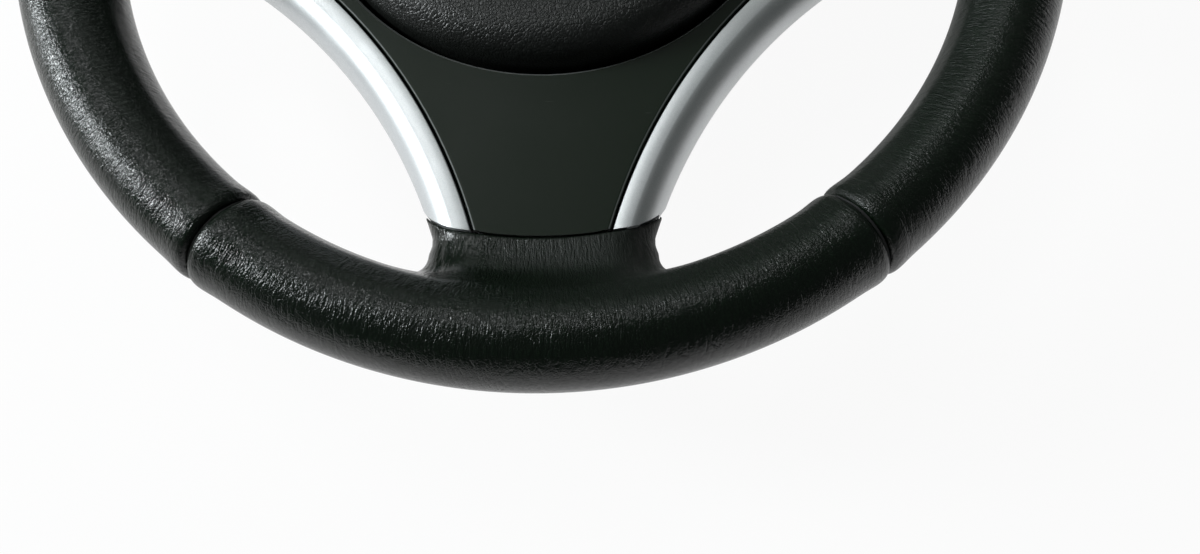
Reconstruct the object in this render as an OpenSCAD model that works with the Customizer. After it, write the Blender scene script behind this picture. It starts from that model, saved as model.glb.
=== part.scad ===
// Car steering wheel with a leather grip, three spokes and a sprung airbag module.
// It lies flat: +Z runs up the steering axis to the driver, +Y points to twelve o'clock.
// The origin is the centre of the hub bore's mouth.

/* [Rim] */
// Diameter over the leather
rim_d = 375; // [365:1:385]
// Width of the grip, across the wheel
grip_w = 33.2; // [31:0.2:35]
// Depth of the grip, front to back
grip_depth = 36; // [34:0.5:38]
// Height of the grip's mid-plane above the hub's mouth
rim_rise = 70; // [68:0.5:73]
// Thickness of the leather
leather_t = 1.3; // [1:0.1:1.6]
// Angle of the lower seams from six o'clock
low_seam_angle = 36.5; // [33:0.5:42]
// Angle of the upper seams above the horizontal
top_seam_angle = 30; // [26:1:36]
// Width of the groove between two leather panels
seam_gap = 1; // [0.6:0.1:1.4]

/* [Spoke roots] */
// Length of the leather on a spoke, measured inwards from the grip
root_len = 18.3; // [16:0.1:20]
// Half width of the leather on the lower spoke
low_root_half = 37.3; // [35:0.5:39]
// Lower edge of the leather on a side spoke
side_root_low = -20; // [-22:0.5:-18]
// Upper edge of the leather on a side spoke
side_root_high = 40.5; // [38:0.5:42]
// Depth of the leather on a spoke
root_depth = 23; // [21:0.5:24]
// Radius of the corner between spoke and rim
root_fillet = 8.5; // [7:0.5:10]

/* [Front] */
// Drop from the grip's mid-plane to the bezel's front face
front_drop = 3; // [2:0.5:4]
// Radius of a trim's outer edge, which runs from the lower root's corner to a side root's corner
arc_r = 190.5; // [184:0.5:196]
// Width of a trim seen from the front
trim_w = 13.3; // [12:0.1:14]
// Width of a trim's flat front face
trim_face = 5; // [4:0.5:6]
// Depth of a trim's rounded side
trim_drop = 13; // [11:0.5:14]
// Wall of the moulded covers and trims
wall = 2.5; // [2:0.1:2.8]

/* [Airbag module] */
// Height of the module's centre above the hub axis, towards twelve o'clock
module_y = 11; // [9:0.5:12]
// Least width of the bezel between a trim and the gap round the airbag cover
bezel_land = 6.8; // [5:0.2:9]
// Gap round the airbag cover
cover_gap = 2; // [1.5:0.1:2.5]
// Rise of the cover's middle over the bezel's front face
cover_rise = 18; // [16:0.5:20]
// Radius of the cover's rolled edge
cover_roll = 12; // [10:0.5:13]
// Width of the folded bag between the gas generator and the tray's wall
bag_width = 44; // [42:0.5:46]
// Depth from the bezel's front face to the tray's underside
tray_drop = 20; // [19:0.5:20.5]
// Travel of the module when the horn is pressed
horn_travel = 2.5; // [2:0.1:2.8]
// Space for a horn spring between its seat and the tray
spring_space = 7.5; // [7:0.1:8]
// Radius of a guide pin
pin_r = 4; // [3.5:0.1:4.2]

/* [Hub] */
// Radius of the plain bore at the hub's mouth
bore_r = 9.5; // [9:0.1:10]
// Length of the plain bore
bore_len = 5; // [4:0.5:6]
// Number of spline teeth
spline_teeth = 24; // [18:1:30]
// Length of the hub insert
insert_len = 18; // [17:0.5:20]
// Thickness of the armature's hub plate
plate_t = 8; // [7:0.5:9]
// Radius of the round opening in the rear cover
rear_opening_r = 38; // [35:0.5:40]

/* [Hidden] */
$fn = 128;

// Clearances: between trim pieces, under glued leather, round a sliding pin
fit = 0.4;
glue = 0.25;
slide = 0.35;

// The grip's section and its place
grip_a = grip_w / 2;
grip_b = grip_depth / 2;
ring_r = rim_d / 2 - grip_a;
ring_in = ring_r - grip_a;
root_r = ring_in - root_len;
front_z = rim_rise - front_drop;
root_back = front_z - root_depth;
turn_in = 4;

// The trims' arc on the right, from the lower root's corner to the side root's corner
low_corner = [low_root_half, -root_r];
side_corner = [root_r, side_root_low];
chord = side_corner - low_corner;
arc_centre = (low_corner + side_corner) / 2
  + sqrt(arc_r * arc_r - chord * chord / 4) * [chord[1], -chord[0]] / norm(chord);
trim_in_r = arc_r + trim_w;
arc_turn = atan2(arc_centre[1], arc_centre[0]);

// The corner of a spoke's end curls inwards under the trim: where it starts, and its arc's centre
corner_r = 22;
arc_far = norm(arc_centre);
bend = acos((arc_far * arc_far + root_r * root_r - pow(trim_in_r - 3, 2)) / (2 * root_r * arc_far));
corner_centre = (root_r - corner_r + 0.4) * aimed(bend);

// The module's widths, from the bezel's opening inwards
module_centre = [0, module_y];
gap_r = norm(arc_centre - module_centre) - trim_in_r - bezel_land;
cover_r = gap_r - cover_gap;
tray_r = cover_r - 8;
inflator_r = tray_r - bag_width;
stud_circle = inflator_r + 10;
pin_circle = tray_r - 16;
pad_r = pin_r + 7;

// The rim channel of the armature
channel_w = 15;
channel_h = 14;
channel_t = 3;

// The rear cover's bowl and levels
bowl_r = module_y + pin_circle + pad_r + 10;
rest_r = bowl_r - 36;
rest_z = -2;
back_z = root_back - 2;
seam_z = front_z - trim_drop - 0.5;
lip_z = front_z - wall - 5.8;
lip_t = 2;
flank_lean = 8;
flank_h = 18;
crown_r = gap_r + 10;
crown_fillet = 25;
spoke_top = side_root_high + 1.5;
end_r = root_r - fit;

// The module's levels
tray_z = front_z - tray_drop;
tray_t = 2;
pad_top = tray_z - spring_space - 1.5;
plate_z = insert_len;
flange_z = tray_z - 1.8;
flange_t = 1.6;
ring_z = tray_z + tray_t + 0.3;
ring_t = 2;
stud_r = 2.5;
nut_r = 4.6;
nut_h = 4;
dome_t = 3;
hook_angles = [22.5:45:337.5];
hook_z = tray_z + 10;
roll_z = front_z + 1.5;
roll_in = cover_r - cover_roll;
dome_rise = front_z + cover_rise - roll_z;
dome_r = (pow(roll_in, 2) + pow(dome_rise, 2) - pow(cover_roll, 2)) / 2 / (dome_rise - cover_roll);
dome_z = front_z + cover_rise - dome_r;

// The guide pins and the wires that hold them
pin_angles = [40, 140, 270];
pin_spots = [for (a = pin_angles) [pin_circle * cos(a), module_y + pin_circle * sin(a)]];
bush_r = pin_r + 2;
bush_len = 12;
wire_r = 1;
wire_len = 22;
wire_z = plate_z - wire_r - 0.5;
spring_r = 7;
spring_wire = 0.6;
spring_turns = 2;

// The screws that join the rear cover to the bezel
screw_spots = concat([[0, 15.6 - end_r]], [for (side = [-1, 1]) each [
  [side * (end_r - 17.6), spoke_top - 11], [side * (end_r - 25.6), side_root_low + 6.5]]]);
screw_seat = seam_z - 7.5;
screw_len = 14;
screw_r = 1.5;
head_r = 3.3;
head_h = 2.4;

function bezier(p, t) = pow(1 - t, 3) * p[0] + 3 * t * pow(1 - t, 2) * p[1]
  + 3 * t * t * (1 - t) * p[2] + t * t * t * p[3];

function curve(p, n) = [for (i = [1:n]) bezier(p, i / n)];

function arc(c, r, a0, a1, n) =
  [for (i = [0:n]) c + r * [cos(a0 + (a1 - a0) * i / n), sin(a0 + (a1 - a0) * i / n)]];

function unit(v) = v / norm(v);

function aimed(a) = [cos(a), sin(a)];

// A line moved sideways by d, to its left
function moved(line, d) = [for (i = [0:len(line) - 1])
  let (t = unit(line[min(i + 1, len(line) - 1)] - line[max(i - 1, 0)])) line[i] + d * [-t[1], t[0]]];

// The grip's oval section, shrunk by i
function grip_section(i) =
  [for (a = [0:10:350]) [ring_r + (grip_a - i) * cos(a), rim_rise + (grip_b - i) * sin(a)]];

module ring(i, start, span) {
  rotate([0, 0, start])
    rotate_extrude(angle = span)
      polygon(grip_section(i));
}

// Plan of a spoke root along +X, with its corner fillets, shrunk by i
function root_corner(edge, i) =
  let (fx = sqrt(pow(ring_in - root_fillet, 2) - pow(edge + root_fillet, 2)),
       aim = atan2(edge + root_fillet, fx))
  concat([[fx, edge - i - 2]], arc([fx, edge + root_fillet], root_fillet + i, -90, aim, 8),
    [(ring_in + i + 6) * [cos(aim), sin(aim)], [ring_r, edge - i - 2]]);

module root_plan(low, high, i, arc_centres) {
  translate([root_start, low + i])
    square([ring_r - root_start, high - low - 2 * i]);
  polygon(root_corner(high, i));
  mirror([0, 1])
    polygon(root_corner(-low, i));
  // Beside a trim's end the tongue widens, flush with the trim's outer edge
  for (c = arc_centres)
    difference() {
      translate([root_start, c[1] < 0 ? low - 12 : 0])
        square([root_r + 1 - root_start, 12 + (c[1] < 0 ? -low : high)]);
      translate(c)
        circle(r = arc_r + i);
    }
}

// Where a tongue starts, before its end is cut
root_start = root_r - 20;

// The tongue that carries the grip onto a spoke
module root(low, high, i, arc_centres) {
  intersection() {
    linear_extrude(rim_rise + grip_b)
      root_plan(low, high, i, arc_centres);
    rotate_extrude()
      polygon([[root_start, root_back + i], [ring_in - 9, root_back + i],
        [ring_in + 6, rim_rise - 10 + i], [ring_r, rim_rise - 8], [ring_r, rim_rise + 8],
        [ring_in + 8, rim_rise + 8 - i], [ring_in - 3, front_z + 0.6 - i], [root_start, front_z - i]]);
  }
}

module low_root(i) {
  rotate([0, 0, -90])
    root(-low_root_half, low_root_half, i,
      [[-arc_centre[1], arc_centre[0]], [-arc_centre[1], -arc_centre[0]]]);
}

module side_root(side, i) {
  mirror([side < 0 ? 1 : 0, 0, 0])
    root(side_root_low, side_root_high, i, [arc_centre]);
}

// What lies inside the line on which the spokes' mouldings end and the leather starts
module end_disc(tip) {
  r = corner_r - (root_r - tip);
  p = corner_centre + r * aimed(bend - 38);
  difference() {
    circle(r = tip);
    for (side = [0, 1])
      mirror([side, 0])
        rotate(arc_turn)
          for (half = [0, 1])
            mirror([0, half])
              difference() {
                polygon([corner_centre, (tip + 12) * aimed(bend), (tip + 12) * aimed(bend - 12),
                  p + 20 * aimed(bend - 84), p]);
                translate(corner_centre)
                  circle(r = r);
              }
  }
}

module past_end() {
  difference() {
    children();
    linear_extrude(rim_rise + grip_b)
      end_disc(root_r);
  }
}

// Angles along the ring: half a seam's gap, and the thickness of a turned edge
function along(length) = length / ring_r * 180 / PI;
seam_half = along(seam_gap / 2);
edge_angle = along(leather_t);

// The edge of a leather panel, turned down into the foam's groove
module turned_edge(start) {
  rotate([0, 0, start])
    rotate_extrude(angle = edge_angle)
      difference() {
        polygon(grip_section(leather_t / 2));
        polygon(grip_section(leather_t + turn_in));
      }
}

module leather_panel(start, span, roots) {
  color([0.07, 0.08, 0.07]) {
    difference() {
      union() {
        ring(0, start + seam_half, span - 2 * seam_half);
        past_end() {
          if (roots == "low") low_root(0);
          if (roots == "left") side_root(-1, 0);
          if (roots == "right") side_root(1, 0);
        }
      }
      ring(leather_t, 0, 360);
      if (roots == "low") low_root(leather_t);
      if (roots == "left") side_root(-1, leather_t);
      if (roots == "right") side_root(1, leather_t);
    }
    turned_edge(start + seam_half);
    turned_edge(start + span - seam_half - edge_angle);
  }
}

module leather_lower() {
  leather_panel(270 - low_seam_angle, 2 * low_seam_angle, "low");
}

module leather_left() {
  leather_panel(180 - top_seam_angle, 90 + top_seam_angle - low_seam_angle, "left");
}

module leather_right() {
  leather_panel(270 + low_seam_angle, 90 + top_seam_angle - low_seam_angle, "right");
}

module leather_top() {
  leather_panel(top_seam_angle, 180 - 2 * top_seam_angle, "none");
}

module rim_foam() {
  skin = leather_t + glue;
  color([0.16, 0.16, 0.17])
    difference() {
      union() {
        ring(skin, 0, 360);
        past_end() {
          low_root(skin);
          side_root(-1, skin);
          side_root(1, skin);
        }
      }
      rim_channel(glue);
      spoke_beams(glue);
      for (a = [270 - low_seam_angle, 270 + low_seam_angle, top_seam_angle, 180 - top_seam_angle])
        seam_groove(a);
    }
}

// The foam's groove that takes the turned edges of two panels
module seam_groove(at) {
  half = seam_half + edge_angle + along(glue);
  rotate([0, 0, at - half])
    rotate_extrude(angle = 2 * half)
      difference() {
        polygon(grip_section(0));
        polygon(grip_section(leather_t + turn_in + glue));
      }
}

// The armature's U-shaped rim, open to the back, grown by g
module rim_channel(g) {
  w = channel_w / 2;
  low = rim_rise - channel_h / 2;
  top = rim_rise + channel_h / 2;
  t = channel_t;
  rotate_extrude()
    translate([ring_r, 0])
      polygon([[-w - g, low - g], [-w - g, top + g], [w + g, top + g], [w + g, low - g],
        [w - t - g, low - g], [w - t - g, top - t - g], [-w + t + g, top - t - g], [-w + t + g, low - g]]);
}

beam_depth = 12;
plate_r = pin_circle - 6;
boss_r = bore_r + 12;
beam_end = ring_r - channel_w / 2 + 1.5;
beam_low = concat([[30, plate_z - 1]],
  curve([[30, plate_z - 1], [bowl_r - 19, plate_z - 2], [bowl_r - 9, back_z - 18],
    [bowl_r + 4, back_z - 7]], 5),
  [[bowl_r + 18, back_z - 0.5], [root_r, root_back + 4.5], [ring_in - 6, root_back + 6.5],
    [beam_end, rim_rise - 4]]);

// Side view of a spoke beam: a band that rises from the plate to the rim
function beam_band(bottom, top) =
  concat([for (p = beam_low) p + [0, bottom]],
    [for (i = [len(beam_low) - 1:-1:0]) beam_low[i] + [0, top]]);

module beam(plan_in, plan_out, y_in, y_out, g) {
  intersection() {
    rotate_extrude()
      polygon(beam_band(-g, beam_depth + g));
    linear_extrude(rim_rise)
      polygon([[20, y_in - plan_in - g], [beam_end + g, y_out - plan_out - g],
        [beam_end + g, y_out + plan_out + g], [20, y_in + plan_in + g]]);
  }
}

// The trough in a beam's back, between its flanges, crossed by ribs
module beam_trough(plan_in, plan_out, y_in, y_out) {
  difference() {
    intersection() {
      rotate_extrude()
        polygon(beam_band(-10, beam_depth - 4));
      linear_extrude(rim_rise)
        polygon([[plate_r + 4, y_in - plan_in + 4], [beam_end - 12, y_out - plan_out + 3],
          [beam_end - 12, y_out + plan_out - 3], [plate_r + 4, y_in + plan_in - 4]]);
    }
    for (i = [1:3])
      translate([plate_r + 22 * i, -60, 0])
        cube([2.5, 120, 90]);
  }
}

module spoke_beams(g) {
  for (side = [0, 1])
    mirror([side, 0, 0])
      beam(20, 12, 4, module_y, g);
  for (side = [0, 1])
    mirror([side, 0, 0])
      rotate([0, 0, -90])
        beam(8, 6, 20, 14, g);
}

module spoke_troughs() {
  for (side = [0, 1])
    mirror([side, 0, 0])
      beam_trough(20, 12, 4, module_y);
  for (side = [0, 1])
    mirror([side, 0, 0])
      rotate([0, 0, -90])
        beam_trough(8, 6, 20, 14);
}

module armature() {
  color([0.62, 0.63, 0.62])
    difference() {
      union() {
        cylinder(h = plate_z + plate_t, r = boss_r);
        translate([0, 0, plate_z])
          cylinder(h = plate_t, r = plate_r);
        for (p = pin_spots) {
          translate([p[0], p[1], plate_z])
            cylinder(h = pad_top - plate_z, r = pad_r);
          translate([0, 0, plate_z])
            rotate([0, 0, atan2(p[1], p[0])])
              translate([0, -pad_r + 2, 0])
                cube([norm(p), 2 * pad_r - 4, plate_t]);
        }
        difference() {
          spoke_beams(0);
          spoke_troughs();
        }
        rim_channel(0);
      }
      // Hub seat for the steel insert, and room for the head of the column's bolt
      translate([0, 0, -1])
        cylinder(h = insert_len + 1 + glue, r = bore_r + 5.5 + glue);
      translate([0, 0, insert_len])
        cylinder(h = plate_t + 30, r = bore_r + 4.5);
      for (p = pin_spots)
        translate([p[0], p[1], 0])
          cylinder(h = 90, r = bush_r + glue);
      // Lightening holes between the arms of the plate
      for (a = [65, 90, 115])
        rotate([0, 0, a])
          translate([(boss_r + plate_r) / 2, 0, plate_z - 1])
            cylinder(h = plate_t + 30, r = 6.5);
    }
}

module hub_insert() {
  tooth = 360 / spline_teeth;
  tip = bore_r - 1.5;
  valley = bore_r - 0.7;
  color([0.45, 0.45, 0.47])
    difference() {
      union() {
        cylinder(h = insert_len, r = bore_r + 4);
        translate([0, 0, 4])
          cylinder(h = insert_len - 8, r = bore_r + 5.5);
      }
      translate([0, 0, -1])
        cylinder(h = bore_len + 1, r = bore_r);
      translate([0, 0, bore_len - 0.01])
        linear_extrude(insert_len - bore_len - 4)
          polygon([for (i = [0:spline_teeth - 1]) each [
            tip * [cos((i - 0.35) * tooth), sin((i - 0.35) * tooth)],
            valley * [cos((i - 0.15) * tooth), sin((i - 0.15) * tooth)],
            valley * [cos((i + 0.15) * tooth), sin((i + 0.15) * tooth)],
            tip * [cos((i + 0.35) * tooth), sin((i + 0.35) * tooth)]]]);
      cylinder(h = insert_len + 1, r = bore_r - 3);
    }
}

// Plan of the spokes and crown: side_r is the radius of the two side arcs,
// inset draws the upper edges in, and tip is the radius at which the spokes end
module spoke_plan(side_r, inset, tip) {
  fy = spoke_top + crown_fillet;
  fx = sqrt(pow(crown_r + crown_fillet, 2) - pow(fy - module_y, 2));
  aim = atan2(module_y - fy, -fx);
  difference() {
    end_disc(tip);
    for (side = [-1, 1])
      translate([side * arc_centre[0], arc_centre[1]])
        circle(r = side_r);
    difference() {
      translate([-tip - 10, spoke_top - inset])
        square([2 * tip + 20, tip]);
      translate([0, module_y])
        circle(r = crown_r - inset);
      for (side = [0, 1])
        mirror([side, 0])
          polygon(concat([[0, module_y]], arc([fx, fy], crown_fillet + inset, aim, -90, 10),
            [[fx, spoke_top - inset - 3], [0, spoke_top - inset - 3]]));
    }
  }
}

module at_module() {
  translate([0, module_y, 0])
    children();
}

module front_bezel() {
  color([0.13, 0.14, 0.13])
    difference() {
      union() {
        translate([0, 0, front_z - wall])
          linear_extrude(wall)
            spoke_plan(trim_in_r + fit, 0, end_r);
        // Skirt down the upper edges of the spokes and crown
        translate([0, 0, seam_z + fit])
          linear_extrude(front_z - seam_z - fit)
            difference() {
              spoke_plan(trim_in_r + fit, 0, end_r);
              spoke_plan(arc_r, wall, end_r + 5);
            }
        // Collar round the airbag cover
        at_module()
          translate([0, 0, seam_z])
            cylinder(h = front_z - seam_z, r = gap_r + wall);
        for (p = screw_spots)
          translate([p[0], p[1], seam_z + fit])
            cylinder(h = front_z - seam_z - 1, r = 4);
      }
      // Opening for the airbag cover, with a broken front edge
      at_module()
        rotate_extrude()
          polygon([[0, seam_z - 1], [gap_r, seam_z - 1], [gap_r, front_z - 0.8], [gap_r + 0.8, front_z],
            [gap_r + 0.8, front_z + 1], [0, front_z + 1]]);
      for (p = screw_spots)
        translate([p[0], p[1], 0])
          cylinder(h = front_z - 4, r = screw_r + 0.05);
    }
}

// A silver trim: flat front face, rounded side, and a clip rib along its inner edge
module trim(side) {
  ridge = trim_in_r - trim_face;
  flank = curve([[ridge, front_z], [ridge - 4.5, front_z - 0.8], [arc_r + 0.4, front_z - 5],
    [arc_r, front_z - trim_drop]], 8);
  outside = concat([[trim_in_r, front_z], [ridge, front_z]], flank);
  inside = concat([[arc_r + wall, front_z - trim_drop]],
    [for (i = [5:-1:0]) [flank[i][0] + wall, flank[i][1] - wall]]);
  color([0.72, 0.73, 0.74])
    mirror([side < 0 ? 1 : 0, 0, 0])
      intersection() {
        translate([arc_centre[0], arc_centre[1], 0])
          rotate([0, 0, 90])
            rotate_extrude(angle = 90)
              union() {
                polygon(concat(outside, inside, [[ridge, front_z - wall], [trim_in_r, front_z - wall]]));
                translate([trim_in_r - 2, front_z - wall - 5])
                  square([2, 6]);
              }
        linear_extrude(rim_rise + grip_b)
          end_disc(end_r);
      }
}

module trim_left() {
  trim(-1);
}

module trim_right() {
  trim(1);
}

rear_line = concat([[rear_opening_r, rest_z], [rest_r, rest_z]],
  curve([[rest_r, rest_z], [bowl_r - 10, rest_z], [bowl_r - 2, rest_z + 5], [bowl_r, rest_z + 20]], 6),
  curve([[bowl_r, rest_z + 20], [bowl_r + 2, rest_z + 35], [bowl_r + 14, back_z - 4],
    [root_r + 4, back_z]], 6));

// What lies outside the spokes' flanks, which lean in towards the back
module past_flanks(r) {
  for (side = [0, 1])
    mirror([side, 0, 0])
      translate([arc_centre[0], arc_centre[1], 0])
        rotate_extrude()
          polygon([[0, rest_z - 2], [r + flank_lean, rest_z - 2], [r + flank_lean, seam_z - flank_h],
            [r, seam_z], [r, seam_z + 5], [0, seam_z + 5]]);
}

module rear_cover() {
  edge_r = arc_r + 0.3;
  lip_r = arc_r + wall + 2;
  color([0.1, 0.1, 0.1])
    difference() {
      union() {
        difference() {
          intersection() {
            rotate_extrude()
              polygon(concat(rear_line, [[root_r + 4, seam_z], [rear_opening_r, seam_z]]));
            translate([0, 0, rest_z - 1])
              linear_extrude(seam_z - rest_z + 1)
                spoke_plan(edge_r - 5, 0, end_r);
          }
          past_flanks(edge_r);
          difference() {
            intersection() {
              rotate_extrude()
                polygon(concat([[rear_opening_r + wall, rest_z + wall]],
                  [for (i = [1:len(rear_line) - 1]) moved(rear_line, wall)[i]],
                  [[root_r + 4, seam_z + 1], [rear_opening_r + wall, seam_z + 1]]));
              translate([0, 0, rest_z - 1])
                linear_extrude(seam_z - rest_z + 3)
                  spoke_plan(edge_r - 5, wall, end_r + 1);
            }
            past_flanks(edge_r + wall);
          }
          translate([0, 0, rest_z + wall + 6])
            cylinder(h = 100, r = rear_opening_r + wall + 0.5);
        }
        // Lip that locates the bezel's skirt and the trims, on a shoulder of the wall
        translate([0, 0, seam_z - 3])
          linear_extrude(lip_z - seam_z + 3)
            difference() {
              spoke_plan(lip_r, wall + 0.5, end_r);
              spoke_plan(lip_r + lip_t, wall + lip_t + 0.5, end_r + 1);
            }
        translate([0, 0, seam_z - 3])
          linear_extrude(3)
            difference() {
              spoke_plan(edge_r + wall - 1, wall - 1, end_r);
              spoke_plan(lip_r + lip_t, wall + lip_t + 0.5, end_r + 1);
            }
        intersection() {
          for (p = screw_spots)
            translate([p[0], p[1], rest_z])
              cylinder(h = seam_z - rest_z, r = head_r + 2);
          rotate_extrude()
            polygon(concat(rear_line, [[root_r + 4, seam_z], [rear_opening_r, seam_z]]));
        }
      }
      for (p = screw_spots) {
        translate([p[0], p[1], rest_z - 1])
          cylinder(h = screw_seat - rest_z + 1, r = head_r + fit);
        translate([p[0], p[1], rest_z - 1])
          cylinder(h = 100, r = screw_r + fit);
      }
      // Tool holes that reach the retaining wires
      for (side = [-1, 1])
        translate([side * (pin_circle + 8), module_y + 20, rest_z - 2])
          cylinder(h = 20, r = 5);
    }
}

module cover_screws() {
  color([0.3, 0.3, 0.31])
    for (p = screw_spots)
      translate([p[0], p[1], screw_seat]) {
        difference() {
          translate([0, 0, -head_h])
            cylinder(h = head_h, r = head_r);
          translate([0, 0, -head_h - 1])
            cylinder(h = 2.4, r = 1.8, $fn = 6);
        }
        cylinder(h = screw_len, r = screw_r);
      }
}

module airbag_cover() {
  wall_r = tray_r + 0.4;
  tear_r = roll_in - 20;
  lean = asin(roll_in / (dome_r - cover_roll));
  crown = [for (i = [0:8]) [0, dome_z] + dome_r * [sin(lean * i / 8), cos(lean * i / 8)]];
  roll = arc([roll_in, roll_z], cover_roll, 90 - lean - 5, 0, 8);
  under_r = dome_r - dome_t;
  tear_z = dome_z + sqrt(under_r * under_r - tear_r * tear_r);
  under = [for (i = [8:-1:0]) [0, dome_z] + under_r * [sin(lean * i / 8), cos(lean * i / 8)]];
  under_roll = arc([roll_in, roll_z], cover_roll - dome_t, 0, 90 - lean - 5, 8);
  color([0.1, 0.1, 0.1])
    at_module() {
      difference() {
        rotate_extrude()
          polygon(concat(crown, roll, [[cover_r, front_z - 7], [cover_r - dome_t, front_z - 7]],
            under_roll, under));
        // Tear line on the inside, open at the top so that the flap swings up
        rotate([0, 0, 115])
          rotate_extrude(angle = 310)
            polygon([[tear_r - 1, tear_z - 1], [tear_r + 1, tear_z - 1], [tear_r, tear_z + dome_t / 2]]);
      }
      // Inner wall, with hooks that catch in the tray's windows
      translate([0, 0, tray_z + 6])
        difference() {
          cylinder(h = roll_z + cover_roll - dome_t - 0.5 - tray_z - 6, r = wall_r + 2.2);
          translate([0, 0, -1])
            cylinder(h = 100, r = wall_r);
        }
      for (a = hook_angles)
        rotate([0, 0, a])
          rotate([90, 0, 0])
            linear_extrude(8, center = true)
              polygon([[wall_r + 1, hook_z], [tray_r - 1.4, hook_z + 2], [tray_r - 1.4, hook_z + 3.4],
                [wall_r + 1, hook_z + 3.4]]);
    }
}

module airbag_housing() {
  color([0.35, 0.36, 0.37])
    at_module()
      difference() {
        rotate_extrude()
          polygon([[inflator_r + 0.5, tray_z], [tray_r, tray_z], [tray_r, front_z - 3],
            [tray_r - 1.8, front_z - 3], [tray_r - 1.8, tray_z + tray_t],
            [inflator_r + 0.5, tray_z + tray_t]]);
        for (a = [45:90:315])
          rotate([0, 0, a])
            translate([stud_circle, 0, 0])
              cylinder(h = 100, r = stud_r + 0.3);
        for (a = pin_angles)
          rotate([0, 0, a])
            translate([pin_circle, 0, 0])
              cylinder(h = 100, r = pin_r + 0.1);
        // Windows for the cover's hooks
        for (a = hook_angles)
          rotate([0, 0, a])
            translate([tray_r - 4, -5, hook_z - 1])
              cube([6, 10, 5]);
      }
}

module airbag_cushion() {
  top = front_z + cover_rise - dome_t - 1;
  low = ring_z + ring_t + 0.3;
  color([0.85, 0.84, 0.8])
    at_module()
      rotate_extrude()
        polygon([[0, front_z + 2.5], [inflator_r + 2.5, front_z + 2.5], [inflator_r + 2.5, low],
          [tray_r - 14, low], [tray_r - 8, low + 2], [tray_r - 2.5, low + 10], [tray_r - 3, front_z + 3],
          [roll_in - 2, front_z + 8], [roll_in - 12, top - 5], [0, top]]);
}

module cushion_ring() {
  color([0.55, 0.55, 0.56])
    at_module() {
      translate([0, 0, ring_z])
        difference() {
          cylinder(h = ring_t, r = stud_circle + 7);
          translate([0, 0, -1])
            cylinder(h = ring_t + 2, r = inflator_r + 1.5);
        }
      for (a = [45:90:315])
        rotate([0, 0, a])
          translate([stud_circle, 0, flange_z - 6])
            cylinder(h = ring_z - flange_z + 6.5, r = stud_r);
    }
}

module inflator() {
  low = tray_z - 13;
  top = front_z + 0.8;
  color([0.6, 0.6, 0.6])
    at_module()
      difference() {
        union() {
          rotate_extrude()
            polygon(concat([[0, low]], arc([inflator_r - 5, low + 5], 5, -90, 0, 6),
              arc([inflator_r - 6, top - 6], 6, 0, 90, 6), [[0, top]]));
          translate([0, 0, flange_z])
            cylinder(h = flange_t, r = stud_circle + 5);
        }
        for (a = [45:90:315])
          rotate([0, 0, a])
            translate([stud_circle, 0, 0])
              cylinder(h = 100, r = stud_r + 0.3);
        // Socket for the igniter's plug
        translate([0, 0, low - 1])
          cylinder(h = 8, r = 6);
      }
}

module inflator_nuts() {
  color([0.7, 0.7, 0.68])
    at_module()
      for (a = [45:90:315])
        rotate([0, 0, a])
          translate([stud_circle, 0, flange_z - nut_h - 0.2])
            difference() {
              cylinder(h = nut_h, r = nut_r, $fn = 6);
              translate([0, 0, -1])
                cylinder(h = nut_h + 2, r = stud_r + 0.05);
            }
}

// A shouldered pin, riveted into the tray, with a neck for its wire
module guide_pins() {
  neck_low = wire_z - wire_r - 0.3;
  neck_high = neck_low + 2 * wire_r + horn_travel + 0.6;
  color([0.75, 0.75, 0.76])
    for (p = pin_spots)
      translate([p[0], p[1], 0])
        rotate_extrude()
          polygon([[0, neck_low - 5], [pin_r - 2, neck_low - 5], [pin_r, neck_low - 2], [pin_r, neck_low],
            [pin_r - 1.4, neck_low], [pin_r - 1.4, neck_high], [pin_r, neck_high], [pin_r, tray_z + tray_t],
            [pin_r + 2, tray_z + tray_t], [pin_r + 2, tray_z + tray_t + 1.8], [0, tray_z + tray_t + 1.8]]);
}

// Flanged plastic bushes that keep the springs and pins off the armature
module spring_insulators() {
  color([0.9, 0.88, 0.8])
    for (p = pin_spots)
      translate([p[0], p[1], 0])
        rotate_extrude()
          polygon([[pin_r + slide, pad_top - bush_len], [bush_r, pad_top - bush_len], [bush_r, pad_top],
            [pad_r - 1, pad_top], [pad_r - 1, pad_top + 1.5], [pin_r + slide, pad_top + 1.5]]);
}

module retaining_wires() {
  color([0.5, 0.5, 0.52])
    for (i = [0:2])
      translate([pin_spots[i][0], pin_spots[i][1], wire_z])
        rotate([0, 0, pin_angles[i]])
          translate([-pin_r + 1.4 - wire_r - 0.2, 0, 0])
            rotate([90, 0, 0])
              cylinder(h = wire_len, r = wire_r, center = true);
}

module horn_spring(i) {
  steps = 16 * spring_turns;
  sides = 6;
  low = pad_top + 1.5 + spring_wire + 0.2;
  rise = spring_space - 2 * spring_wire - 0.4;
  points = [for (s = [0:steps]) for (k = [0:sides - 1])
    let (turn = 360 * s / 16, out = spring_r + spring_wire * cos(60 * k))
    [out * cos(turn), out * sin(turn), low + rise * s / steps + spring_wire * sin(60 * k)]];
  walls = [for (s = [0:steps - 1]) for (k = [0:sides - 1])
    let (n = (k + 1) % sides) [s * sides + k, s * sides + n, (s + 1) * sides + n, (s + 1) * sides + k]];
  color([0.6, 0.62, 0.65])
    translate([pin_spots[i][0], pin_spots[i][1], 0])
      polyhedron(points = points, faces = concat([[for (k = [0:sides - 1]) sides - 1 - k]], walls,
        [[for (k = [0:sides - 1]) steps * sides + k]]), convexity = 6);
}

module horn_spring_1() {
  horn_spring(0);
}

module horn_spring_2() {
  horn_spring(1);
}

module horn_spring_3() {
  horn_spring(2);
}

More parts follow.
